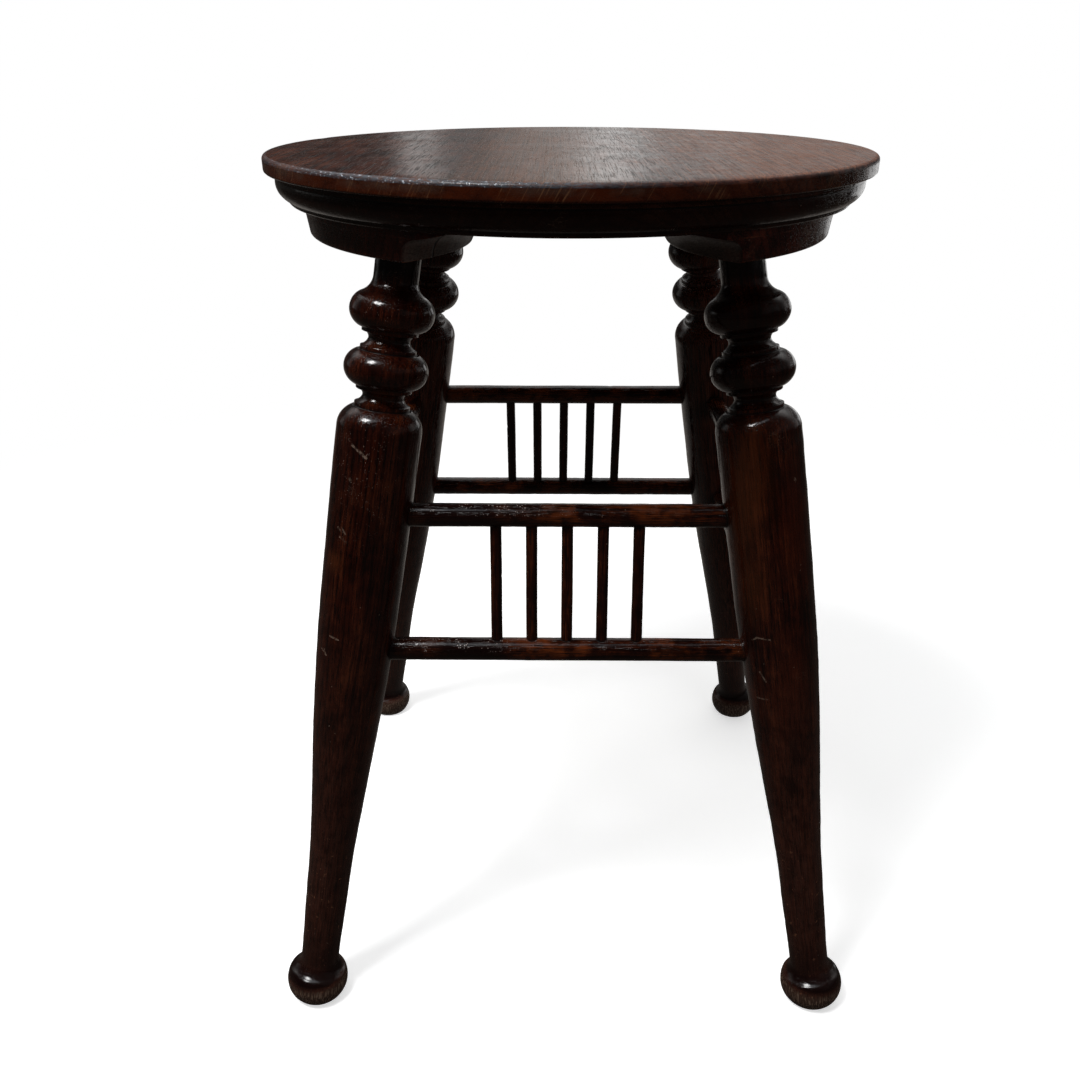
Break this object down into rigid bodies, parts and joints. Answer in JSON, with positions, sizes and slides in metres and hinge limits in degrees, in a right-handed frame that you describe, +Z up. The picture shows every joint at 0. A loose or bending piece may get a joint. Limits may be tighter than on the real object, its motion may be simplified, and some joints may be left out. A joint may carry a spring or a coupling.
{
  "type": "stool",
  "caption": "Round-topped wooden stool with splayed turned legs, side rails and spindle galleries under the seat.",
  "frame": {"origin": "on the floor, under the middle of the round seat", "axes": "+Z up through the middle of the seat, -Y towards the front, +X to the right seen from the front; the seat's grain runs along Y"},
  "size_m": [0.3386, 0.3385, 0.4765],
  "materials": {
    "seat_oak": "dark stained oak, worn shellac",
    "bearer_oak": "dark stained oak, satin",
    "leg_oak": "dark stained oak, glossy",
    "rail_oak": "dark stained oak, satin",
    "spindle_oak": "dark stained oak, glossy",
    "screw_steel": "old steel, dull"
  },
  "bodies": {
    "root": {"bearer_left": "bearer_oak", "bearer_right": "bearer_oak", "bearer_screws_left": "screw_steel", "bearer_screws_right": "screw_steel", "leg_back_left": "leg_oak", "leg_back_right": "leg_oak", "leg_front_left": "leg_oak", "leg_front_right": "leg_oak", "rail_back_lower": "rail_oak", "rail_back_upper": "rail_oak", "rail_front_lower": "rail_oak", "rail_front_upper": "rail_oak", "rail_left_lower": "rail_oak", "rail_left_upper": "rail_oak", "rail_right_lower": "rail_oak", "rail_right_upper": "rail_oak", "seat_board_left": "seat_oak", "seat_board_right": "seat_oak", "spindle_back_1": "spindle_oak", "spindle_back_2": "spindle_oak", "spindle_back_3": "spindle_oak", "spindle_back_4": "spindle_oak", "spindle_back_5": "spindle_oak", "spindle_front_1": "spindle_oak", "spindle_front_2": "spindle_oak", "spindle_front_3": "spindle_oak", "spindle_front_4": "spindle_oak", "spindle_front_5": "spindle_oak", "spindle_left_1": "spindle_oak", "spindle_left_2": "spindle_oak", "spindle_left_3": "spindle_oak", "spindle_left_4": "spindle_oak", "spindle_left_5": "spindle_oak", "spindle_right_1": "spindle_oak", "spindle_right_2": "spindle_oak", "spindle_right_3": "spindle_oak", "spindle_right_4": "spindle_oak", "spindle_right_5": "spindle_oak"}
  },
  "joints": []
}
